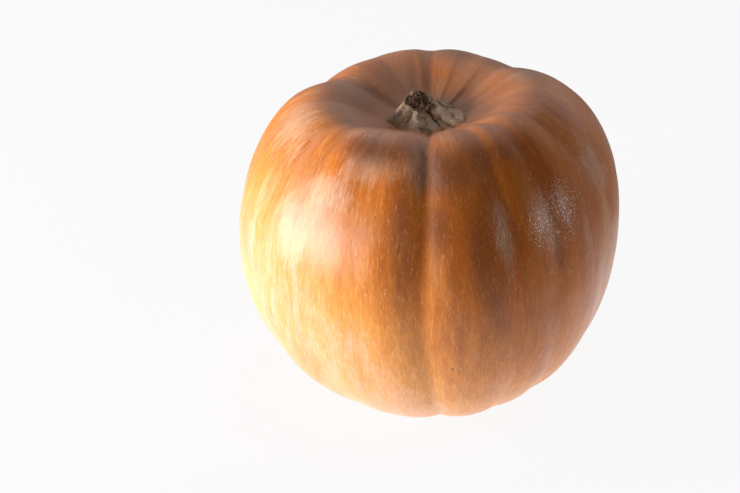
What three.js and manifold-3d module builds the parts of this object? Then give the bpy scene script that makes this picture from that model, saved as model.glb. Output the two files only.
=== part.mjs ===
// A musk pumpkin: one ribbed, slightly flattened fruit with the stub of its dry stem in the hollow on top.
// Millimetres, +Z up, front towards -Y. The origin is on the surface that the fruit rests on, under the
// middle of the whole object's box. Azimuths are degrees from the front, positive towards +X.
import * as THREE from 'three';
import { mergeVertices } from 'three/addons/utils/BufferGeometryUtils.js';
import Module from 'manifold-3d';

// The fruit's meridian: a fuller curve above its widest level than below it.
const GIRTH_RADIUS = 120;
const CROWN_HEIGHT = 107.5; // from the widest level to where the top would be without its hollow
const BASE_DEPTH = 115.5; // from the widest level to where the underside would be without its dimple
const CROWN_FULLNESS = 2.2; // 2 is an ellipse, and more is boxier
const BASE_FULLNESS = 2.13;
const STEM_HOLLOW = { depth: 36, spread: 48.5, flatness: 3 }; // its floor is flat enough for the stem
const BLOSSOM_DIMPLE = { depth: 9, spread: 19, flatness: 2 };

const LEAN = 4; // degrees that the fruit's axis leans towards -X
const FOOT_FLATTENING = 3; // how much of its lowest side is flat, where it lay on the ground

// The grooves between the ribs: where each one crosses the widest level, how far it drifts from there
// towards the stem and towards the base, its depth, and its half-width in degrees.
const GROOVES = [
  { at: -2.5, stemDrift: 4, baseDrift: 2.5, depth: 4.4, halfWidth: 8 },
  { at: 23.5, stemDrift: 2, baseDrift: 1.5, depth: 3.2, halfWidth: 5.5 },
  { at: 37, stemDrift: 4, baseDrift: 7, depth: 3, halfWidth: 5.5 },
  { at: 65, stemDrift: -8, baseDrift: 2, depth: 2.2, halfWidth: 8 },
  { at: 95, stemDrift: -3, baseDrift: 0, depth: 1.2, halfWidth: 9 },
  { at: 132.5, stemDrift: -1, baseDrift: 0, depth: 4.5, halfWidth: 10 },
  { at: 152.5, stemDrift: 0, baseDrift: 0, depth: 1, halfWidth: 8 },
  { at: -179.5, stemDrift: -3, baseDrift: 0, depth: 4, halfWidth: 10 },
  { at: -152.5, stemDrift: 0, baseDrift: 0, depth: 0.8, halfWidth: 9 },
  { at: -125.5, stemDrift: 4, baseDrift: 0, depth: 4.7, halfWidth: 9 },
  { at: -90, stemDrift: 2, baseDrift: 0, depth: 2.5, halfWidth: 9 },
  { at: -63.5, stemDrift: 9, baseDrift: 0, depth: 3.4, halfWidth: 9 },
  { at: -38.5, stemDrift: -6, baseDrift: 5.5, depth: 2.5, halfWidth: 7.5 },
  { at: -20.5, stemDrift: -1, baseDrift: 3, depth: 0.9, halfWidth: 5 },
];
const GROOVE_SHARPNESS = 1.5; // 2 is a rounded valley, and less is a sharper one

// Broad swells (and, where negative, flats) that make the fruit lopsided.
const SWELLS = [
  { azimuth: -102, latitude: 26, spread: 38, height: -1.2 },
  { azimuth: -132, latitude: 48, spread: 28, height: -5 },
  { azimuth: -106, latitude: 44, spread: 14, height: 3 },
  { azimuth: -75, latitude: -12, spread: 38, height: 1.3 },
  { azimuth: 77, latitude: -12, spread: 38, height: -9 },
  { azimuth: 141, latitude: 50, spread: 18, height: -6.5 },
];

// The stem: five ridges that flare onto the floor of the hollow, sunk between them, and a small broken top.
// Heights are from the hollow's lowest point, and each ridge's reach is a share of the ridge radius.
const STEM_RIDGES = [
  { azimuth: -10, reach: 1.05 }, // meets the front groove
  { azimuth: 61, reach: 1.02 },
  { azimuth: 133, reach: 0.8 },
  { azimuth: -154, reach: 0.95 },
  { azimuth: -77, reach: 1.02 },
];
const STEM_RIDGE_SPREAD = 36; // degrees from a ridge's crest to the bottom of the side beside it
const STEM_FOOT = { height: 3.8, ridge: 25, valley: 20.5 };
const STEM_TOP = { height: 14.5, ridge: 10.5, valley: 7.5 };
const STEM_FLARE = 1.15; // 1 is a straight slope from the foot to the top, and more is a hollow one
const STEM_SINKING = 2.8; // how far each side is sunk, halfway up, between its ridges
const STEM_TOP_SHIFT = { x: -4.5, y: -0.5 };
const STEM_TOP_SLOPE = { x: -0.12, y: 0.25 }; // the broken top is highest at the back left
const STEM_ROOT = 8; // how far the blank runs down into the fruit before it is fitted to the hollow
const STEM_GAP = 0.3; // between the stem and the fruit

const FRUIT_GRID = { rings: 36, segments: 96 };
const STEM_GRID = { rings: 15, segments: 50 };
const ALMOST_POLE = 1e-6;

const radians = THREE.MathUtils.degToRad;
const lerp = THREE.MathUtils.lerp;

// Degrees from one azimuth to another, the short way round.
const turn = (from, to) => THREE.MathUtils.euclideanModulo(to - from + 180, 360) - 180;

// A closed surface with a pole at each end. place(share, azimuth) gives each point, with share from 0 at the
// lower pole to 1 at the upper one; it doesn't depend on the azimuth at a pole.
function closedSurface({ rings, segments }, place) {
  const profile = [];
  for (let ring = 0; ring <= rings; ring++) {
    const angle = (Math.PI * ring) / rings;
    profile.push(new THREE.Vector2(Math.sin(angle), -Math.cos(angle)));
  }
  const surface = new THREE.LatheGeometry(profile, segments);
  const points = surface.attributes.position;
  for (let k = 0; k < points.count; k++) {
    const ring = k % (rings + 1);
    const segment = Math.floor(k / (rings + 1)) % segments;
    const point = place(ring / rings, (360 * segment) / segments);
    points.setXYZ(k, point.x, point.y, point.z);
  }
  surface.deleteAttribute('uv');
  surface.deleteAttribute('normal');
  return mergeVertices(surface);
}

const aroundAxis = (radius, azimuth, height) =>
  new THREE.Vector3(radius * Math.sin(radians(azimuth)), -radius * Math.cos(radians(azimuth)), height);

// --- Fruit ---------------------------------------------------------------------------------------------------

// The meridian's radius and height at a latitude, before ribs.
function meridian(latitude) {
  const upper = latitude >= 0;
  const power = 2 / (upper ? CROWN_FULLNESS : BASE_FULLNESS);
  const half = upper ? CROWN_HEIGHT : -BASE_DEPTH;
  const dent = upper ? STEM_HOLLOW : BLOSSOM_DIMPLE;
  const radius = GIRTH_RADIUS * Math.cos(radians(latitude)) ** power;
  const height = half * Math.abs(Math.sin(radians(latitude))) ** power;
  const sunk = dent.depth * Math.exp(-((radius / dent.spread) ** dent.flatness));
  return new THREE.Vector2(radius, height - Math.sign(half) * sunk);
}

// The outward direction across the meridian.
function acrossMeridian(latitude) {
  const step = 0.05;
  const along = meridian(Math.min(latitude + step, 90)).sub(meridian(Math.max(latitude - step, -90)));
  return new THREE.Vector2(along.y, -along.x).normalize();
}

// Ribs run from the stem to the base: strongest on the shoulder, and gone at both poles.
function ribStrength(latitude) {
  const rise = Math.sin(radians(latitude)) ** 2;
  const fade = Math.cos(radians(latitude)) ** 0.45;
  return fade * (latitude >= 0 ? 0.72 + 0.28 * rise : 0.72 - 0.22 * rise);
}

function grooveDepth(latitude, azimuth) {
  const drift = Math.abs(Math.sin(radians(latitude)));
  let depth = 0;
  for (const groove of GROOVES) {
    const centre = groove.at + drift * (latitude > 0 ? groove.stemDrift : groove.baseDrift);
    const away = Math.abs(turn(centre, azimuth)) / groove.halfWidth;
    depth += groove.depth * Math.exp(-(away ** GROOVE_SHARPNESS));
  }
  return depth * ribStrength(latitude);
}

// A unit vector from the fruit's middle.
const direction = (latitude, azimuth) =>
  aroundAxis(Math.cos(radians(latitude)), azimuth, Math.sin(radians(latitude)));

function swellHeight(latitude, azimuth) {
  const here = direction(latitude, azimuth);
  let height = 0;
  for (const swell of SWELLS) {
    const away = THREE.MathUtils.radToDeg(here.angleTo(direction(swell.latitude, swell.azimuth)));
    height += swell.height * Math.exp(-((away / swell.spread) ** 2));
  }
  return height;
}

const leaning = new THREE.Matrix4().makeRotationY(radians(-LEAN));

function fruitPoint(share, azimuth) {
  const latitude = lerp(-90, 90, share);
  const atPole = 90 - Math.abs(latitude) < ALMOST_POLE;
  const { x: radius, y: height } = meridian(latitude);
  const out = atPole ? new THREE.Vector2(0, Math.sign(latitude)) : acrossMeridian(latitude);
  const proud = swellHeight(latitude, azimuth) - (atPole ? 0 : grooveDepth(latitude, azimuth));
  const reach = atPole ? 0 : radius + out.x * proud;
  return aroundAxis(reach, azimuth, height + out.y * proud).applyMatrix4(leaning);
}

// Presses the lowest points of a surface flat, and returns the level that they are pressed to.
function flattenFoot(surface) {
  surface.computeBoundingBox();
  const level = surface.boundingBox.min.z + FOOT_FLATTENING;
  const points = surface.attributes.position;
  for (let k = 0; k < points.count; k++) {
    points.setZ(k, Math.max(points.getZ(k), level));
  }
  return level;
}

// --- Stem ----------------------------------------------------------------------------------------------------

// The outline of the stem at a level with the given radii along its ridges and between them.
function stemOutline(level, azimuth) {
  let radius = level.valley;
  for (const ridge of STEM_RIDGES) {
    const nearness = Math.max(0, 1 - Math.abs(turn(ridge.azimuth, azimuth)) / STEM_RIDGE_SPREAD);
    radius += nearness * (level.ridge * ridge.reach - level.valley);
  }
  return radius;
}

// The shares of the blank's surface where its underside ends, where its foot is, and where its top starts.
const STEM_SHARES = { underside: 3 / 15, foot: 4 / 15, top: 11 / 15 };

// A blank for the stem, in a frame whose origin is the hollow's lowest point. Its lower part is in the fruit.
function stemPoint(share, azimuth) {
  const { underside, foot, top } = STEM_SHARES;
  const rise = THREE.MathUtils.clamp((share - foot) / (top - foot), 0, 1);
  const root = THREE.MathUtils.clamp((foot - share) / (foot - underside), 0, 1);
  const side = lerp(stemOutline(STEM_TOP, azimuth), stemOutline(STEM_FOOT, azimuth), (1 - rise) ** STEM_FLARE);
  const betweenRidges = 1 - stemOutline({ ridge: 1, valley: 0 }, azimuth);
  const sunk = STEM_SINKING * betweenRidges * Math.sin(Math.PI * rise);
  const inward = Math.min(share / underside, (1 - share) / (1 - top), 1);
  const height = lerp(STEM_FOOT.height, STEM_TOP.height, rise) - root * (STEM_ROOT + STEM_FOOT.height);
  const point = aroundAxis((side - sunk) * inward, azimuth, height);
  point.z += rise ** 2 * (STEM_TOP_SLOPE.x * point.x + STEM_TOP_SLOPE.y * point.y);
  point.x += STEM_TOP_SHIFT.x * rise;
  point.y += STEM_TOP_SHIFT.y * rise;
  return point;
}

// --- Assembly ------------------------------------------------------------------------------------------------

const wasm = await Module();
wasm.setup();

function solidOf(geometry) {
  return new wasm.Manifold(
    new wasm.Mesh({
      numProp: 3,
      vertProperties: geometry.attributes.position.array,
      triVerts: new Uint32Array(geometry.index.array),
    }),
  );
}

function geometryOf(solid) {
  const { vertProperties, triVerts } = solid.getMesh();
  const geometry = new THREE.BufferGeometry();
  geometry.setAttribute('position', new THREE.BufferAttribute(new Float32Array(vertProperties), 3));
  geometry.setIndex(new THREE.BufferAttribute(new Uint32Array(triVerts), 1));
  geometry.computeVertexNormals();
  return geometry;
}

function namedMesh(name, geometry, look) {
  const mesh = new THREE.Mesh(geometry, new THREE.MeshStandardMaterial(look));
  mesh.name = name;
  return mesh;
}

const fruitSurface = closedSurface(FRUIT_GRID, fruitPoint);
const footLevel = flattenFoot(fruitSurface);

// The stem is fitted to the hollow by cutting its blank with the fruit, raised by the gap between them.
const stemBlank = closedSurface(STEM_GRID, stemPoint);
stemBlank.translate(0, 0, meridian(90).y + swellHeight(90, 0));
stemBlank.applyMatrix4(leaning);
const raisedFruit = fruitSurface.clone().translate(0, 0, STEM_GAP);
const stemSolid = solidOf(stemBlank).subtract(solidOf(raisedFruit));

const pumpkin = new THREE.Group();
pumpkin.add(namedMesh('fruit', fruitSurface, { color: 0xb8702c, roughness: 0.4, metalness: 0 }));
pumpkin.add(namedMesh('stem', geometryOf(stemSolid), { color: 0x8a7a58, roughness: 0.9, metalness: 0 }));

const box = new THREE.Box3().setFromObject(pumpkin);
const middle = box.getCenter(new THREE.Vector3());
pumpkin.position.set(-middle.x, -middle.y, -footLevel);

export default pumpkin;
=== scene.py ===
import functools
import math

import bmesh
import bpy
from mathutils import Matrix, Vector, noise
from mathutils.bvhtree import BVHTree


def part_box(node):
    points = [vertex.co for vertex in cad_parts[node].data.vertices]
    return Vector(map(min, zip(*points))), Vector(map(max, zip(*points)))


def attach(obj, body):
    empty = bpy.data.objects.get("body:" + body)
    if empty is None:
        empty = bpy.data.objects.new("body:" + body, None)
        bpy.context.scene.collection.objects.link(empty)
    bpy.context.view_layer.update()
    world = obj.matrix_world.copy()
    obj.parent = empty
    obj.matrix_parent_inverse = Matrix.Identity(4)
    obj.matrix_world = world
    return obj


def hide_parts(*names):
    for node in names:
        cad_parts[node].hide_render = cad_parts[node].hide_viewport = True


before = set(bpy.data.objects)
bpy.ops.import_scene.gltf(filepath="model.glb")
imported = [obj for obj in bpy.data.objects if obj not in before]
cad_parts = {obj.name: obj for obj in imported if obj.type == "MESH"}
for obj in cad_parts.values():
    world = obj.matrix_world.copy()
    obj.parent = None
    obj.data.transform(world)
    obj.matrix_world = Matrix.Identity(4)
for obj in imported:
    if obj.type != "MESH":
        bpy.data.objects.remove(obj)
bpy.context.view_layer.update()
fruit_low, fruit_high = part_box("fruit")


# --- Camera -----------------------------------------------------------------------------------------------
# A long lens a metre away, looking down on the fruit from the front. It is aimed to the left of the fruit and
# a little below its widest level, so the fruit stands right of the middle.
WIDEST_LEVEL = 0.5385  # share of the fruit's height
CAMERA_DISTANCE = 1.072
CAMERA_ELEVATION = math.radians(30)
AIM_LEFT = 0.0393
AIM_DOWN = 0.0152

fruit_centre = Vector((0.0033, 0.0003, fruit_high.z * WIDEST_LEVEL))
away = Vector((0, -math.cos(CAMERA_ELEVATION), math.sin(CAMERA_ELEVATION)))
up_the_picture = Vector((0, math.sin(CAMERA_ELEVATION), math.cos(CAMERA_ELEVATION)))
aim = fruit_centre - Vector((AIM_LEFT, 0, 0)) - up_the_picture * AIM_DOWN

camera = bpy.data.objects.new("camera", bpy.data.cameras.new("camera"))
bpy.context.scene.collection.objects.link(camera)
bpy.context.scene.camera = camera
camera.data.lens = 85
camera.data.sensor_width = 36
camera.location = fruit_centre + away * CAMERA_DISTANCE
camera.rotation_mode = "QUATERNION"
camera.rotation_quaternion = (aim - camera.location).to_track_quat("-Z", "Y")


# --- Light table ------------------------------------------------------------------------------------------
# The fruit stands on a wide white table that glows round its foot, in front of a white backdrop. A large soft
# light stands low on the left, and weak ones on the right and high at the back. The camera's side is dim.
def put(tree, kind, inputs=None, **settings):
    """Adds a node. An input given as a socket is linked, and any other is set as a value."""
    node = tree.nodes.new(kind)
    for name, value in settings.items():
        setattr(node, name, value)
    for name, value in (inputs or {}).items():
        socket = node.inputs[name]
        if isinstance(value, bpy.types.NodeSocket):
            tree.links.new(value, socket)
        else:
            socket.default_value = value
    return node


def new_material(name):
    """A material with nothing in it but its Principled shader, which is returned with it."""
    material = bpy.data.materials.new(name)
    material.use_nodes = True
    tree = material.node_tree
    tree.nodes.clear()
    shader = put(tree, "ShaderNodeBsdfPrincipled")
    put(tree, "ShaderNodeOutputMaterial", {"Surface": shader.outputs["BSDF"]})
    return material, shader


def ramp(tree, value, low, high, floor=0.0, ceiling=1.0):
    """Takes a value from low to high smoothly to floor to ceiling. Low may be more than high."""
    settings = {"Value": value, "From Min": low, "From Max": high, "To Min": floor, "To Max": ceiling}
    return put(tree, "ShaderNodeMapRange", settings, interpolation_type="SMOOTHSTEP").outputs["Result"]


TABLE_RADIUS = 15.0
TABLE_WHITE = 0.35
TABLE_GLOW = 1.02
GLOW_REACH = (0.20, 0.42)  # how far from the middle the glow begins to fade, and where it has gone
# To the camera, which overexposes it, the table is flatter and brighter than the rind finds it.
TABLE_WHITE_SEEN = 0.05
TABLE_GLOW_SEEN = 0.92
BACKDROP_SEEN = (0.94, 0.935, 0.93, 1)

table_mesh = bmesh.new()
bmesh.ops.create_circle(table_mesh, cap_ends=True, radius=TABLE_RADIUS, segments=96)
table = bpy.data.objects.new("light_table", bpy.data.meshes.new("light_table"))
table_mesh.to_mesh(table.data)
table_mesh.free()
bpy.context.scene.collection.objects.link(table)
table_material, table_shader = new_material("table_white")
tree = table_material.node_tree
is_seen = put(tree, "ShaderNodeLightPath").outputs["Is Camera Ray"]
on_table = put(tree, "ShaderNodeTexCoord").outputs["Object"]
from_middle = put(tree, "ShaderNodeVectorMath", {0: on_table}, operation="LENGTH").outputs["Value"]
glow = ramp(tree, from_middle, GLOW_REACH[1], GLOW_REACH[0], floor=0.12, ceiling=TABLE_GLOW)
for socket, unseen, seen in (
    ("Base Color", TABLE_WHITE, TABLE_WHITE_SEEN),
    ("Emission Color", 1.0, 1.0),
    ("Emission Strength", glow, TABLE_GLOW_SEEN),
):
    choice = put(tree, "ShaderNodeMapRange", {"Value": is_seen, "To Min": unseen, "To Max": seen})
    tree.links.new(choice.outputs["Result"], table_shader.inputs[socket])
table_shader.inputs["Roughness"].default_value = 0.7
table_shader.inputs["Specular IOR Level"].default_value = 0.0
table.data.materials.append(table_material)


def soft_light(name, azimuth, elevation, distance, size, power):
    """A rectangular light that faces the fruit. The camera doesn't see it, but the rind reflects it."""
    across, up = math.radians(azimuth), math.radians(elevation)
    lamp = bpy.data.lights.new(name, "AREA")
    lamp.shape = "RECTANGLE"
    lamp.size, lamp.size_y = size
    lamp.energy = power
    light = bpy.data.objects.new(name, lamp)
    towards = Vector((math.sin(across) * math.cos(up), -math.cos(across) * math.cos(up), math.sin(up)))
    light.location = fruit_centre + towards * distance
    light.rotation_mode = "QUATERNION"
    light.rotation_quaternion = (-towards).to_track_quat("-Z", "Y")
    light.visible_camera = False
    bpy.context.scene.collection.objects.link(light)


soft_light("window_light", azimuth=-73, elevation=4, distance=1.1, size=(0.97, 0.6), power=32)
soft_light("right_light", azimuth=79, elevation=13, distance=1.6, size=(0.22, 0.42), power=4.4)
soft_light("ceiling_light", azimuth=176, elevation=62, distance=1.3, size=(0.9, 0.9), power=2.2)

world = bpy.data.worlds.new("studio")
bpy.context.scene.world = world
world.use_nodes = True
sky = world.node_tree
sky.nodes.clear()
direction = put(sky, "ShaderNodeTexCoord").outputs["Generated"]
towards_back = put(sky, "ShaderNodeSeparateXYZ", {"Vector": direction}).outputs["Y"]
room_light = ramp(sky, towards_back, 0.1, 0.9, floor=0.02, ceiling=0.7)
unlit = put(sky, "ShaderNodeBackground", {"Color": (1, 0.98, 0.96, 1), "Strength": room_light})
seen = put(sky, "ShaderNodeBackground", {"Color": BACKDROP_SEEN, "Strength": 1.0})
is_seen = put(sky, "ShaderNodeLightPath").outputs["Is Camera Ray"]
both = put(sky, "ShaderNodeMixShader", {0: is_seen, 1: unlit.outputs[0], 2: seen.outputs[0]})
put(sky, "ShaderNodeOutputWorld", {"Surface": both.outputs[0]})
bpy.context.scene.view_settings.view_transform = "Standard"


# --- Fruit ------------------------------------------------------------------------------------------------
# The whole ripened fruit, rind and flesh in one. It grew round its own axis, which leans a little, with a rib
# between each pair of grooves, a deep hollow round the stem and a small corky scar at the other end.
GIRTH_RADIUS = 0.120
CROWN_HEIGHT = 0.1075
BASE_DEPTH = 0.1155
CROWN_FULLNESS = 2.2
BASE_FULLNESS = 2.13
HOLLOW_DEPTH, HOLLOW_SPREAD, HOLLOW_FLATNESS = 0.0345, 0.0485, 3
DIMPLE_DEPTH, DIMPLE_SPREAD, DIMPLE_FLATNESS = 0.009, 0.019, 2
LEAN = Matrix.Rotation(math.radians(-4), 4, "Y")
FOOT_FLATTENING = 0.003

# Azimuth at the widest level, drift towards the stem, drift towards the base, depth, half-width in degrees.
GROOVES = [
    (-2.5, 4, 2.5, 0.0045, 7.5),
    (23.5, 2, 1.5, 0.0033, 5.2),
    (37.0, 4, 7, 0.0031, 5.2),
    (65.0, -8, 2, 0.0023, 8.0),
    (95.0, -3, 0, 0.0014, 9.0),
    (132.5, -1, 0, 0.0045, 10.0),
    (152.5, 0, 0, 0.0012, 8.0),
    (-179.5, -3, 0, 0.0040, 10.0),
    (-152.5, 0, 0, 0.0010, 9.0),
    (-125.5, 4, 0, 0.0047, 9.0),
    (-90.0, 2, 0, 0.0025, 9.0),
    (-63.5, 9, 0, 0.0034, 9.0),
    (-38.5, -6, 5.5, 0.0025, 7.5),
    (-20.5, -1, 3, 0.0009, 5.0),
]
GROOVE_SHARPNESS = 1.5
GROOVE_REACH = 4  # in half-widths
# How strong the grooves are at the widest level, and how much stronger at the stem and weaker at the base.
GIRTH_STRENGTH, STEM_GAIN, BASE_GAIN = 0.72, 0.28, -0.22
GROOVE_CLOSING = 0.45  # how quickly the grooves close towards the poles
FRONT_GROOVE = GROOVES[0]
CREASE_DEPTH, CREASE_HALF_WIDTH = 0.0013, 2.2  # the fold at the bottom of the front groove
# Azimuth, latitude, spread in degrees, height: broad swells and flats that make the fruit lopsided.
SWELLS = [
    (-102, 26, 38, -0.0012),
    (-132, 48, 28, -0.0050),
    (-106, 44, 14, 0.0030),
    (-75, -12, 38, 0.0013),
    (77, -12, 38, -0.0090),
    (141, 50, 18, -0.0065),
]
# Azimuth, latitude, spread in degrees, share: where the rind ripened golden rather than deep orange, which on
# the side the window light falls on is partly painted light, and where it dried leathery.
GOLDEN_AND_LIT_PLACES = [
    (-72, 2, 40, 1.0),
    (-28, -14, 26, 0.7),
    (-20, -45, 34, 0.6),
    (45, -58, 40, 0.6),
    (-165, -10, 50, 0.7),
]
LEATHERY_PLACES = [(46, 26, 8, 1.0), (70, 34, 8, 0.8), (22, 24, 7, 0.5), (38, 22, 7, 0.6), (150, 25, 16, 0.8)]
# Azimuth, latitude, half-width and half-length in degrees, strength: patches of dull pinkish wax, with
# painted highlights and sheen among them, narrow ones on the rib flanks and one at the crown's top-left rim.
WAX_AND_SHEEN_PATCHES = [
    (-36, 37, 12, 7, 0.9),
    (-44, 20, 7, 14, 0.9),
    (-74, 50, 24, 12, 0.8),
    (-27, 61, 22, 6, 0.7),
    (-23, 48, 13, 8, 0.8),
    (4, 50, 7, 14, 0.6),
    (-3, 53, 7, 13, 0.9),
    (12, 60, 12, 4, 0.5),
    (-118, 68, 15, 8, 0.9),
    (23, 24, 3.5, 13, 0.8),
    (38, 23, 3.5, 13, 0.8),
    (45, 27, 4, 9, 0.6),
    (53, 10, 3, 18, 0.7),
    (66, 8, 3.5, 18, 1.0),
    (68, 30, 8, 12, 0.9),
    (-41, 8, 3, 20, 0.5),
    (-53, 14, 3, 22, 0.7),
    (-65, 16, 3, 22, 0.6),
    (-84, 10, 4, 26, 0.7),
    (105, 62, 12, 8, 0.8),
    (98, 20, 5, 22, 0.8),
    (133, 40, 8, 20, 0.9),
    (-178, 45, 9, 22, 0.9),
    (-126, 30, 8, 24, 0.9),
    (-150, 5, 5, 18, 0.6),
    (160, -20, 6, 16, 0.6),
]
# Patches listed in the same way: where the rind is more golden, which is partly painted light on faces turned
# to the window light, and where it is browner, which is partly painted shade on the shoulders and the right
# side and the stem's painted shadow in the hollow.
GOLDEN_AND_LIT_STREAKS = [(1, 3, 4, 19, 0.5), (-20, 8, 8, 22, 0.5), (-30, -5, 5, 22, 0.4)]
BROWN_AND_SHADED_PATCHES = [
    (-8, 24, 5, 34, 0.75),
    (7, 14, 3.5, 30, 0.5),
    (5, 50, 5, 10, 0.95),
    (125, 58, 28, 12, 0.7),
    (70, 76, 35, 8, 0.7),
    (14, 22, 5, 24, 0.7),
    (27, 20, 2.5, 22, 0.5),
    (40, 12, 3, 12, 0.6),
    (-50, 66, 16, 6, 0.6),
    (-21, 55, 24, 8, 1.0),
    (-95, 72, 40, 9, 0.6),
    (6, 47, 14, 12, 0.9),
    (3, 30, 6, 14, 0.8),
    (165, 62, 20, 8, 0.7),
    (8, -2, 7, 14, 0.5),
    (18, 4, 6, 14, 0.6),
    (30, 50, 22, 7, 0.6),
    (75, 50, 16, 10, 0.5),
    (50, 22, 18, 26, 0.4),
    (128, 10, 5, 30, 0.6),
    (-172, 20, 5, 30, 0.6),
    (-118, 10, 5, 30, 0.6),
]
FLOWER_SCAR_RADIUS = 0.006
RINGS, SEGMENTS = 96, 240


def turn(start, end):
    """Degrees from one azimuth to another, the short way round."""
    return (end - start + 180) % 360 - 180


def around_axis(radius, azimuth, height):
    angle = math.radians(azimuth)
    return Vector((radius * math.sin(angle), -radius * math.cos(angle), height))


def meridian(latitude):
    """Radius and height of the fruit's side view at a latitude in degrees, before its ribs."""
    across, rise = math.cos(math.radians(latitude)), abs(math.sin(math.radians(latitude)))
    if latitude >= 0:
        radius = GIRTH_RADIUS * max(across, 0) ** (2 / CROWN_FULLNESS)
        sunk = HOLLOW_DEPTH * math.exp(-((radius / HOLLOW_SPREAD) ** HOLLOW_FLATNESS))
        return Vector((radius, CROWN_HEIGHT * rise ** (2 / CROWN_FULLNESS) - sunk))
    radius = GIRTH_RADIUS * max(across, 0) ** (2 / BASE_FULLNESS)
    sunk = DIMPLE_DEPTH * math.exp(-((radius / DIMPLE_SPREAD) ** DIMPLE_FLATNESS))
    return Vector((radius, sunk - BASE_DEPTH * rise ** (2 / BASE_FULLNESS)))


def groove_at(latitude, azimuth):
    """How deep the grooves are at a place."""
    rise = abs(math.sin(math.radians(latitude)))
    depth = 0
    for groove in GROOVES:
        at, stem_drift, base_drift, deepest, half_width = groove
        centre = at + rise * (stem_drift if latitude > 0 else base_drift)
        away_from_it = abs(turn(centre, azimuth)) / half_width
        if away_from_it < GROOVE_REACH:
            depth += deepest * math.exp(-(away_from_it**GROOVE_SHARPNESS))
        if groove is FRONT_GROOVE:
            depth += CREASE_DEPTH * math.exp(-((turn(centre, azimuth) / CREASE_HALF_WIDTH) ** 2))
    strength = GIRTH_STRENGTH + (STEM_GAIN if latitude > 0 else BASE_GAIN) * rise**2
    return depth * strength * max(math.cos(math.radians(latitude)), 0) ** GROOVE_CLOSING


def swell_at(latitude, azimuth):
    here = around_axis(math.cos(math.radians(latitude)), azimuth, math.sin(math.radians(latitude)))
    height = 0
    for swell_azimuth, swell_latitude, spread, highest in SWELLS:
        up = math.radians(swell_latitude)
        there = around_axis(math.cos(up), swell_azimuth, math.sin(up))
        height += highest * math.exp(-((math.degrees(here.angle(there)) / spread) ** 2))
    return height


def spread_share(places, latitude, azimuth):
    """How much of what is listed by place, from 0 to 1, there is at a place."""
    here = around_axis(math.cos(math.radians(latitude)), azimuth, math.sin(math.radians(latitude)))
    share = 0
    for at, up, spread, most in places:
        there = around_axis(math.cos(math.radians(up)), at, math.sin(math.radians(up)))
        share += most * math.exp(-((math.degrees(here.angle(there)) / spread) ** 2))
    return min(share, 1)


def patch_share(patches, latitude, azimuth):
    """How near a place is to the middle of one of the patches, from 0 to 1."""
    most = 0
    for at, up, half_width, half_length, strength in patches:
        across, along = turn(at, azimuth) / half_width, (latitude - up) / half_length
        most = max(most, strength * math.exp(-(across**2) - along**2))
    return most


def relief_at(here, azimuth, arc, hollow):
    """The small unevenness of the rind: soft dents, faint lengthwise cords, and pleats round the stem."""
    angle = math.radians(azimuth)
    round_it = Vector((math.sin(angle), math.cos(angle), 0))
    dents = 0.0005 * noise.noise(here * 24) + 0.00025 * noise.noise(here * 60)
    cords = 0.00018 * noise.noise(round_it * 13 + Vector((0, 0, arc * 14)))
    pleats = 0.0007 * hollow * noise.noise(round_it * 7 + Vector((3, 0, arc * 9)))
    return dents + cords + pleats


# One entry for each ring from the base to the stem: the meridian's point, its outward direction, and the
# distance along it from the base.
side_view = []
distance = 0
previous = meridian(-90)
for ring in range(RINGS + 1):
    latitude = -90 + 180 * ring / RINGS
    point = meridian(latitude)
    distance += (point - previous).length
    previous = point
    along = meridian(min(latitude + 0.05, 90)) - meridian(max(latitude - 0.05, -90))
    outward = Vector((along.y, -along.x)).normalized()
    if ring in (0, RINGS):
        outward = Vector((0, math.copysign(1, latitude)))
    side_view.append((point, outward, distance))

fruit_mesh = bmesh.new()
bmesh.ops.create_uvsphere(fruit_mesh, u_segments=SEGMENTS, v_segments=RINGS, radius=1)
grown = fruit_mesh.verts.layers.float_vector.new("grown")  # round the axis and along the meridian, in radii
hollow_share = fruit_mesh.verts.layers.float.new("hollow")
scar_share = fruit_mesh.verts.layers.float.new("scar")
golden_and_lit_share = fruit_mesh.verts.layers.float.new("golden_and_lit")
leathery_share = fruit_mesh.verts.layers.float.new("leathery")
wax_and_sheen_share = fruit_mesh.verts.layers.float.new("wax_and_sheen")
brown_and_shade_share = fruit_mesh.verts.layers.float.new("brown")
for vertex in fruit_mesh.verts:
    latitude = math.degrees(math.asin(max(-1, min(1, vertex.co.z))))
    ring = round((latitude + 90) / 180 * RINGS)
    latitude = -90 + 180 * ring / RINGS
    at_pole = ring in (0, RINGS)
    azimuth = 0 if at_pole else math.degrees(math.atan2(vertex.co.x, -vertex.co.y))
    point, outward, arc = side_view[ring]
    groove = 0 if at_pole else groove_at(latitude, azimuth)
    hollow = math.exp(-((point.x / HOLLOW_SPREAD) ** HOLLOW_FLATNESS)) if latitude > 0 else 0
    proud = swell_at(latitude, azimuth) - groove
    surface = around_axis(0 if at_pole else point.x + outward.x * proud, azimuth, point.y + outward.y * proud)
    proud = relief_at(surface, azimuth, arc, hollow)
    surface += around_axis(outward.x, azimuth, outward.y) * (0 if at_pole else proud)
    angle = math.radians(azimuth)
    vertex[grown] = (math.sin(angle), math.cos(angle), arc / GIRTH_RADIUS)
    vertex[hollow_share] = hollow
    vertex[scar_share] = math.exp(-((point.x / FLOWER_SCAR_RADIUS) ** 4)) if latitude < 0 else 0
    streak = patch_share(GOLDEN_AND_LIT_STREAKS, latitude, azimuth)
    vertex[golden_and_lit_share] = max(spread_share(GOLDEN_AND_LIT_PLACES, latitude, azimuth), streak)
    vertex[leathery_share] = spread_share(LEATHERY_PLACES, latitude, azimuth)
    vertex[wax_and_sheen_share] = patch_share(WAX_AND_SHEEN_PATCHES, latitude, azimuth)
    vertex[brown_and_shade_share] = patch_share(BROWN_AND_SHADED_PATCHES, latitude, azimuth)
    vertex.co = LEAN @ surface

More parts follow.
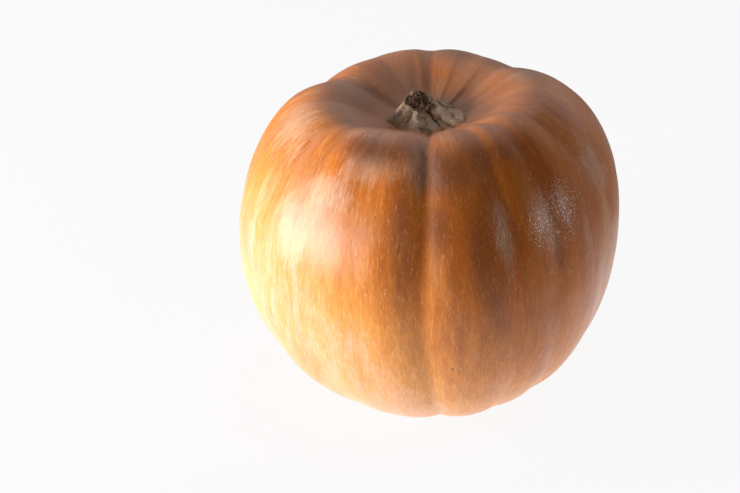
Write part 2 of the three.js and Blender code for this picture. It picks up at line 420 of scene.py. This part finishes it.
# It is set down where the frame's fruit stands, on the side that its own weight pressed flat.
low = Vector([min(v.co[axis] for v in fruit_mesh.verts) for axis in range(3)])
high = Vector([max(v.co[axis] for v in fruit_mesh.verts) for axis in range(3)])
shift = (fruit_low + fruit_high) / 2 - (low + high) / 2
shift.z = -(low.z + FOOT_FLATTENING)
for vertex in fruit_mesh.verts:
    vertex.co += shift
    vertex.co.z = max(vertex.co.z, 0)
for face in fruit_mesh.faces:
    face.smooth = True

fruit = bpy.data.objects.new("ribbed_fruit", bpy.data.meshes.new("ribbed_fruit"))
fruit_mesh.to_mesh(fruit.data)
skin_surface = BVHTree.FromBMesh(fruit_mesh)
fruit_mesh.free()
bpy.context.scene.collection.objects.link(fruit)
fruit_rounding = fruit.modifiers.new("rounding", "SUBSURF")
fruit_rounding.levels = fruit_rounding.render_levels = 1


def maths(tree, operation, first, second=0.5):
    return put(tree, "ShaderNodeMath", {0: first, 1: second}, operation=operation).outputs[0]


def mix_colours(tree, share, first, second, blend="MIX"):
    node = put(tree, "ShaderNodeMix", {0: share, 6: first, 7: second}, data_type="RGBA", blend_type=blend)
    return node.outputs[2]


def noise_at(tree, vector, scale, detail=2.0, roughness=0.5, distortion=0.0):
    settings = {"Vector": vector, "Scale": scale, "Detail": detail, "Roughness": roughness}
    settings["Distortion"] = distortion
    return put(tree, "ShaderNodeTexNoise", settings).outputs["Fac"]


def streaks_group():
    """Streaks that run along the way that a plant part grew: a value round 0.5, from a place on it."""
    group = bpy.data.node_groups.new("grown_streaks", "ShaderNodeTree")
    for name, kind in (("Grown", "Vector"), ("Across", "Float"), ("Along", "Float"), ("Wander", "Float")):
        group.interface.new_socket(name=name, in_out="INPUT", socket_type="NodeSocket" + kind)
    group.interface.new_socket(name="Value", in_out="OUTPUT", socket_type="NodeSocketFloat")
    given = put(group, "NodeGroupInput").outputs
    stretch = put(group, "ShaderNodeCombineXYZ", {0: given["Across"], 1: given["Across"], 2: given["Along"]})
    factors = {0: given["Grown"], 1: stretch.outputs[0]}
    stretched = put(group, "ShaderNodeVectorMath", factors, operation="MULTIPLY").outputs[0]
    settings = {"Vector": stretched, "Scale": 1.0, "Detail": 3.0, "Roughness": 0.6}
    settings["Distortion"] = given["Wander"]
    fac = put(group, "ShaderNodeTexNoise", settings).outputs["Fac"]
    put(group, "NodeGroupOutput", {"Value": fac})
    return group


grown_streaks = streaks_group()


def streaks(tree, grown_vector, across, along, wander=0.0):
    """Streaks, with how many there are in a radius across the grain and along it."""
    node = tree.nodes.new("ShaderNodeGroup")
    node.node_tree = grown_streaks
    tree.links.new(grown_vector, node.inputs["Grown"])
    for name, value in (("Across", across), ("Along", along), ("Wander", wander)):
        node.inputs[name].default_value = value
    return node.outputs["Value"]


def attribute(tree, name, output="Fac"):
    return put(tree, "ShaderNodeAttribute", attribute_name=name).outputs[output]


DEEP_ORANGE = (0.50, 0.118, 0.011, 1)
BRIGHT_ORANGE = (0.61, 0.170, 0.015, 1)
GOLD = (0.78, 0.31, 0.052, 1)
PALE_GOLD_AND_LIGHT = (0.72, 0.385, 0.275, 1)
BROWN = (0.36, 0.108, 0.034, 1)
TAN = (0.50, 0.205, 0.088, 1)
WAX_AND_SHEEN = (0.69, 0.42, 0.265, 1)
GREY_WAX = (0.36, 0.215, 0.175, 1)
FLECK = (0.80, 0.50, 0.26, 1)
BROWN_FLECK = (0.30, 0.09, 0.03, 1)
CORK = (0.40, 0.29, 0.18, 1)
SPOT = (0.06, 0.03, 0.02, 1)
# Small scars: azimuth, latitude, length and width in metres, degrees between its length and the rib's,
# strength.
MARKS = [
    (5.0, -14.0, 0.0020, 0.0014, 0, 0.9),
    (-16.0, 33.0, 0.0012, 0.0012, 0, 0.6),
    (-0.5, 54.0, 0.0085, 0.0009, 35, 0.5),
    (-8.0, -15.0, 0.0100, 0.0006, 90, 0.35),
    (40.0, 10.0, 0.0022, 0.0018, 0, 0.5),
    (43.0, 7.5, 0.0018, 0.0014, 0, 0.5),
    (60.0, 27.0, 0.0030, 0.0008, 40, 0.6),
    (-58.0, 42.0, 0.0016, 0.0012, 0, 0.5),
    (110.0, 12.0, 0.0030, 0.0012, 60, 0.7),
    (-150.0, 25.0, 0.0024, 0.0016, 0, 0.7),
    (-100.0, -10.0, 0.0060, 0.0008, 20, 0.5),
    (175.0, -25.0, 0.0020, 0.0020, 0, 0.7),
]

skin, skin_shader = new_material("pumpkin_rind")
tree = skin.node_tree
grain = attribute(tree, "grown", "Vector")
in_hollow = attribute(tree, "hollow")
golden_and_lit = attribute(tree, "golden_and_lit")
place = put(tree, "ShaderNodeTexCoord").outputs["Object"]

# Orange, in broad soft bands of deeper and brighter rind, with streaks of brown and of gold. The brown is
# partly painted shade and the gold partly painted light.
outside = maths(tree, "SUBTRACT", 1.0, maths(tree, "MULTIPLY", in_hollow, 0.8))
bands = streaks(tree, grain, 6.5, 1.4, wander=0.5)
fine_bands = streaks(tree, grain, 22.0, 5.0, wander=0.5)
hairs = streaks(tree, grain, 80.0, 13.0, wander=0.3)
fibres = streaks(tree, grain, 170.0, 30.0, wander=0.2)
colour = mix_colours(tree, ramp(tree, bands, 0.34, 0.66), DEEP_ORANGE, BRIGHT_ORANGE)
brown_and_shade_field = maths(tree, "ADD", attribute(tree, "brown"), ramp(tree, fine_bands, 0.65, 0.2, -0.08, 0.18))
brown_and_shade_field = maths(tree, "ADD", brown_and_shade_field, ramp(tree, hairs, 0.2, 0.8, -0.1, 0.1))
colour = mix_colours(tree, ramp(tree, brown_and_shade_field, 0.1, 1.0, 0.0, 0.9), colour, BROWN)
gold_bands = maths(tree, "MULTIPLY", ramp(tree, fine_bands, 0.25, 0.8, -0.15, 0.2), outside)
gold_and_lit_share = maths(tree, "ADD", golden_and_lit, gold_bands)
gold_and_lit_share = maths(tree, "ADD", gold_and_lit_share, ramp(tree, hairs, 0.25, 0.8, -0.08, 0.12))
# Painted light as well as golden rind: gold, and pale cream where the share is highest, most on the lit left
# side.
colour = mix_colours(tree, ramp(tree, gold_and_lit_share, 0.0, 1.1), colour, GOLD)
colour = mix_colours(tree, ramp(tree, gold_and_lit_share, 0.7, 1.4, 0.0, 0.85), colour, PALE_GOLD_AND_LIGHT)
# Tan and brown in the hollow and in clouds on the shoulders.
clouds = noise_at(tree, place, 22.0, detail=3.0, distortion=0.6)
tan_clouds = ramp(tree, clouds, 0.45, 0.7, 0.0, 0.5)
tan_share = maths(tree, "ADD", maths(tree, "MULTIPLY", in_hollow, 0.8), tan_clouds)
colour = mix_colours(tree, ramp(tree, tan_share, 0.1, 1.1, 0.0, 0.85), colour, TAN)
# Dull pinkish wax, with painted highlights and sheen, in patches with edges drawn out along the grain, greyer
# in the hollow and in the brown patches, where the grey is partly painted shade.
wax_and_sheen_field = maths(tree, "ADD", attribute(tree, "wax_and_sheen"), ramp(tree, hairs, 0.2, 0.8, -0.14, 0.14))
wax_and_sheen_field = maths(tree, "ADD", wax_and_sheen_field, ramp(tree, fine_bands, 0.2, 0.8, -0.2, 0.2))
wax_and_sheen_cover = ramp(tree, wax_and_sheen_field, 0.2, 0.85, 0.0, 0.6)
wax_and_sheen_cover = maths(tree, "MULTIPLY", wax_and_sheen_cover, ramp(tree, fibres, 0.3, 0.6, 0.6, 1.0))
greyness = maths(tree, "MAXIMUM", in_hollow, attribute(tree, "brown"))
wax_and_sheen_colour = mix_colours(tree, greyness, WAX_AND_SHEEN, GREY_WAX)
colour = mix_colours(tree, wax_and_sheen_cover, colour, wax_and_sheen_colour)
thin_wax = maths(tree, "MULTIPLY", in_hollow, ramp(tree, clouds, 0.35, 0.6, 0.1, 0.5))
colour = mix_colours(tree, thin_wax, colour, GREY_WAX)
# Pale drawn-out flecks, brown ones, and the fine fibrous grain between them.
flecks = ramp(tree, streaks(tree, grain, 115.0, 32.0), 0.59, 0.69, 0.0, 0.4)
colour = mix_colours(tree, flecks, colour, FLECK)
brown = ramp(tree, streaks(tree, grain, 60.0, 12.0), 0.36, 0.25, 0.0, 0.18)
colour = mix_colours(tree, brown, colour, BROWN_FLECK)
fine_shade = ramp(tree, fibres, 0.25, 0.75, 0.86, 1.1)
shade = maths(tree, "MULTIPLY", fine_shade, ramp(tree, hairs, 0.25, 0.75, 0.93, 1.07))
# Painted shade: the brown patches also darken the colour to as little as six tenths, on the shoulders and in
# the hollow.
shade = maths(tree, "MULTIPLY", shade, ramp(tree, attribute(tree, "brown"), 0.3, 1.1, 1.0, 0.6))
shade_colour = put(tree, "ShaderNodeCombineColor", {0: shade, 1: shade, 2: shade}).outputs[0]
colour = mix_colours(tree, 1.0, colour, shade_colour, blend="MULTIPLY")


def mark(middle, along, outward, length, width, lean):
    """A mask that is 1 in the middle of a small scar and 0 outside its oval."""
    run = Matrix.Rotation(math.radians(lean), 3, outward) @ along
    from_middle = put(tree, "ShaderNodeVectorMath", {0: place, 1: middle}, operation="SUBTRACT").outputs[0]
    squares = 0.0
    for axis, reach in ((run, length / 2), (outward.cross(run), width / 2)):
        dot = put(tree, "ShaderNodeVectorMath", {0: from_middle, 1: axis / reach}, operation="DOT_PRODUCT")
        squares = maths(tree, "ADD", maths(tree, "POWER", dot.outputs["Value"], 2.0), squares)
    through = put(tree, "ShaderNodeVectorMath", {0: from_middle, 1: outward / 0.02}, operation="DOT_PRODUCT")
    squares = maths(tree, "ADD", maths(tree, "POWER", through.outputs["Value"], 2.0), squares)
    ragged = maths(tree, "ADD", squares, ramp(tree, fibres, 0.2, 0.8, -0.5, 0.5))
    return ramp(tree, ragged, 1.2, 0.3)


scars = 0.0
for at, up, length, width, lean, strength in MARKS:
    arc_end = meridian(up + 0.5) - meridian(up - 0.5)
    outward = (LEAN @ around_axis(arc_end.y, at, -arc_end.x)).normalized()
    along = (LEAN @ around_axis(arc_end.x, at, arc_end.y)).normalized()
    middle_point = meridian(up)
    proud = swell_at(up, at) - groove_at(up, at)
    middle = LEAN @ around_axis(middle_point.x, at, middle_point.y) + shift + outward * proud
    scar = maths(tree, "MULTIPLY", mark(middle, along, outward, length, width, lean), strength)
    scars = maths(tree, "MAXIMUM", scar, scars)
colour = mix_colours(tree, scars, colour, SPOT)
# Cork at the scar where the flower was.
colour = mix_colours(tree, attribute(tree, "scar"), colour, CORK)
tree.links.new(colour, skin_shader.inputs["Base Color"])

bare_gloss = ramp(tree, clouds, 0.35, 0.7, 0.34, 0.44)
gloss = maths(tree, "ADD", bare_gloss, maths(tree, "MULTIPLY", wax_and_sheen_cover, 0.22))
gloss = maths(tree, "ADD", gloss, maths(tree, "MULTIPLY", in_hollow, 0.15))
gloss = maths(tree, "SUBTRACT", gloss, maths(tree, "MULTIPLY", attribute(tree, "leathery"), 0.14))
tree.links.new(gloss, skin_shader.inputs["Roughness"])
skin_shader.inputs["IOR"].default_value = 1.46
skin_shader.inputs["Coat Weight"].default_value = 0.10
skin_shader.inputs["Coat Roughness"].default_value = 0.25

# The rind is finely pitted, with a lengthwise grain, and crackled where it dried.
pit_cells = {"Vector": place, "Scale": 850.0}
pits = put(tree, "ShaderNodeTexVoronoi", pit_cells, feature="SMOOTH_F1").outputs["Distance"]
cracks = {"Vector": place, "Scale": 480.0}
crackle = put(tree, "ShaderNodeTexVoronoi", cracks, feature="DISTANCE_TO_EDGE").outputs["Distance"]
leathery = maths(tree, "ADD", attribute(tree, "leathery"), 0.06)
leather = maths(tree, "MULTIPLY", ramp(tree, crackle, 0.0, 0.22), leathery)
height = maths(tree, "ADD", maths(tree, "MULTIPLY", leather, 0.8), maths(tree, "MULTIPLY", fibres, 0.45))
height = maths(tree, "ADD", height, maths(tree, "MULTIPLY", pits, 0.18))
height = maths(tree, "ADD", height, maths(tree, "MULTIPLY", noise_at(tree, place, 160.0, detail=4.0), 0.8))
height = maths(tree, "SUBTRACT", height, maths(tree, "MULTIPLY", scars, 0.8))
bump = put(tree, "ShaderNodeBump", {"Height": height, "Strength": 0.35, "Distance": 0.0006})
tree.links.new(bump.outputs["Normal"], skin_shader.inputs["Normal"])

fruit.data.materials.append(skin)
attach(fruit, "root")
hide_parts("fruit")


# --- Stem -------------------------------------------------------------------------------------------------
# The dried end of the vine: a corky stub with five ridges that flare onto the floor of the hollow, sides sunk
# between them, and a rough brown top where it was broken off. It grew as one with the fruit.
# Azimuth and reach of each ridge, and how far the side that follows it is sunk.
RIDGES = [
    (-77, 1.02, 0.0042),
    (-10, 1.04, 0.0062),
    (61, 1.02, 0.0028),
    (133, 0.80, 0.0022),
    (-154, 0.95, 0.0030),
]
FOOT_RIDGE, FOOT_VALLEY = 0.0252, 0.0208
TOP_HEIGHT, TOP_RIDGE, TOP_VALLEY = 0.0112, 0.0100, 0.0076
FLARE = 1.15
TOP_SHIFT = Vector((-0.0045, -0.0005, 0))
TOP_SLOPE = Vector((-0.12, 0.25, 0))
STEM_RINGS, STEM_SEGMENTS = 110, 240
# Shares of the way from the underside's middle to the top's middle where the underside, foot and side end.
UNDERSIDE_SHARE, FOOT_SHARE, TOP_SHARE = 0.12, 0.2, 0.72
ROOTED = 0.002  # how far the foot goes into the hollow's floor
DEEPLY_SUNK = 0.004
BARK_ROUGHNESS, BREAK_ROUGHNESS, BREAK_LUMPS = 0.00045, 0.0009, 0.0022
stem_origin = LEAN @ Vector((0, 0, meridian(90).y + swell_at(90, 0))) + shift


def beside_ridges(azimuth):
    """The ridges on each side of an azimuth as (share of the way to the second, first, second)."""
    for index, first in enumerate(RIDGES):
        second = RIDGES[(index + 1) % len(RIDGES)]
        whole = (second[0] - first[0]) % 360
        part = (azimuth - first[0]) % 360
        if part < whole:
            return part / whole, first, second
    raise ValueError("the ridges don't go all the way round")


def stem_outline(azimuth, ridge, valley):
    share, first, second = beside_ridges(azimuth)
    nearness = abs(2 * share - 1)
    reach = first[1] if share < 0.5 else second[1]
    return valley + (ridge * reach - valley) * nearness


@functools.cache
def foot_at(azimuth):
    """How high the rind is above the hollow's lowest point where the stem's foot meets it."""
    across = around_axis(stem_outline(azimuth, FOOT_RIDGE, FOOT_VALLEY), azimuth, 0)
    start = 0.04
    begin = stem_origin + LEAN @ Vector((across.x, across.y, start))
    distance_down = skin_surface.ray_cast(begin, LEAN @ Vector((0, 0, -1)))[3]
    return start - distance_down


stem_mesh = bmesh.new()
bmesh.ops.create_uvsphere(stem_mesh, u_segments=STEM_SEGMENTS, v_segments=STEM_RINGS, radius=1)
stem_grown = stem_mesh.verts.layers.float_vector.new("grown")
stem_broken = stem_mesh.verts.layers.float.new("broken")
stem_sunk = stem_mesh.verts.layers.float.new("sunk")
stem_foot = stem_mesh.verts.layers.float.new("foot")
for vertex in stem_mesh.verts:
    latitude = math.degrees(math.asin(max(-1, min(1, vertex.co.z))))
    share = (latitude + 90) / 180
    at_pole = min(share, 1 - share) < 0.25 / STEM_RINGS
    azimuth = 0 if at_pole else math.degrees(math.atan2(vertex.co.x, -vertex.co.y))
    rise = min(max((share - FOOT_SHARE) / (TOP_SHARE - FOOT_SHARE), 0), 1)
    root = min(max((FOOT_SHARE - share) / (FOOT_SHARE - UNDERSIDE_SHARE), 0), 1)
    inward = 0 if at_pole else min(share / UNDERSIDE_SHARE, (1 - share) / (1 - TOP_SHARE), 1)
    between, first, second = beside_ridges(azimuth)
    foot_radius = stem_outline(azimuth, FOOT_RIDGE, FOOT_VALLEY)
    top_radius = stem_outline(azimuth, TOP_RIDGE, TOP_VALLEY)
    side = top_radius + (foot_radius - top_radius) * (1 - rise) ** FLARE
    sunk = first[2] * math.sin(math.pi * between) ** 2 * math.sin(math.pi * rise**0.9) ** 1.2
    across = around_axis((side - sunk) * inward, azimuth, 0)
    foot_height = foot_at(round(azimuth, 2))
    height = foot_height + (TOP_HEIGHT - foot_height) * rise - root * ROOTED
    local = Vector((across.x, across.y, height))
    local.z += rise**2 * TOP_SLOPE.dot(across)
    local += TOP_SHIFT * rise
    angle = math.radians(azimuth)
    outward = around_axis(1 - share, azimuth, share).normalized()
    rough = noise.fractal(local * 320, 0.7, 2.2, 4)
    broken = min(max((share - TOP_SHARE + 0.06) / 0.1, 0), 1)
    local += outward * rough * (BARK_ROUGHNESS + BREAK_ROUGHNESS * broken) * (1 - root)
    lumps = noise.fractal(local * 140 + Vector((5, 0, 0)), 0.8, 2.1, 3)
    local.z += broken * BREAK_LUMPS * lumps
    vertex[stem_grown] = (math.sin(angle), math.cos(angle), height / FOOT_RIDGE)
    vertex[stem_broken] = broken
    vertex[stem_sunk] = min(sunk / DEEPLY_SUNK, 1)
    vertex[stem_foot] = max(0, 1 - rise / 0.14)
    vertex.co = stem_origin + LEAN @ local
for face in stem_mesh.faces:
    face.smooth = True
stem = bpy.data.objects.new("dry_stem", bpy.data.meshes.new("dry_stem"))
stem_mesh.to_mesh(stem.data)
stem_mesh.free()
bpy.context.scene.collection.objects.link(stem)

PALE_CORK = (0.80, 0.585, 0.42, 1)
OLIVE = (0.37, 0.235, 0.145, 1)
BRICK_BROWN = (0.32, 0.16, 0.085, 1)
DARK_BROWN = (0.040, 0.028, 0.020, 1)
BROKEN_WOOD = (0.36, 0.18, 0.095, 1)
CALLUS = (0.62, 0.33, 0.14, 1)

bark, bark_shader = new_material("dry_stem_cork")
tree = bark.node_tree
grain = attribute(tree, "grown", "Vector")
place = put(tree, "ShaderNodeTexCoord").outputs["Object"]
sunk_side = attribute(tree, "sunk")
mottle = noise_at(tree, place, 190.0, detail=5.0, roughness=0.68)
speckle = noise_at(tree, place, 900.0, detail=4.0, roughness=0.75)
furrows = streaks(tree, grain, 9.0, 3.0, wander=0.5)
# The sunk sides are less pale and more darkly speckled: dark mottling in their pits, and painted shade in the
# deepest.
pale_share = maths(tree, "ADD", mottle, maths(tree, "MULTIPLY", sunk_side, -0.06))
colour = mix_colours(tree, ramp(tree, pale_share, 0.34, 0.56), OLIVE, PALE_CORK)
colour = mix_colours(tree, ramp(tree, furrows, 0.55, 0.75, 0.0, 0.55), colour, BRICK_BROWN)
dark_mottle = ramp(tree, mottle, 0.42, 0.32, 0.0, 0.4)
dark_share = maths(tree, "ADD", ramp(tree, speckle, 0.47, 0.33, 0.0, 0.75), dark_mottle)
sunk_mottle_and_shade = maths(tree, "ADD", maths(tree, "MULTIPLY", sunk_side, 0.55), 0.55)
dark_share = maths(tree, "MULTIPLY", dark_share, sunk_mottle_and_shade)
colour = mix_colours(tree, dark_share, colour, DARK_BROWN)
wood = mix_colours(tree, ramp(tree, speckle, 0.38, 0.6), DARK_BROWN, BROKEN_WOOD)
colour = mix_colours(tree, attribute(tree, "broken"), colour, wood)
callus_share = maths(tree, "MULTIPLY", attribute(tree, "foot"), ramp(tree, speckle, 0.3, 0.6, 0.5, 1.0))
colour = mix_colours(tree, callus_share, colour, CALLUS)
tree.links.new(colour, bark_shader.inputs["Base Color"])
bark_shader.inputs["Roughness"].default_value = 0.85
cork_height = maths(tree, "ADD", speckle, maths(tree, "MULTIPLY", mottle, 1.2))
cork_height = maths(tree, "ADD", cork_height, maths(tree, "MULTIPLY", streaks(tree, grain, 30.0, 8.0), 0.5))
cork_bump = put(tree, "ShaderNodeBump", {"Height": cork_height, "Strength": 0.9, "Distance": 0.0011})
tree.links.new(cork_bump.outputs["Normal"], bark_shader.inputs["Normal"])

stem.data.materials.append(bark)
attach(stem, "root")
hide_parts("stem")
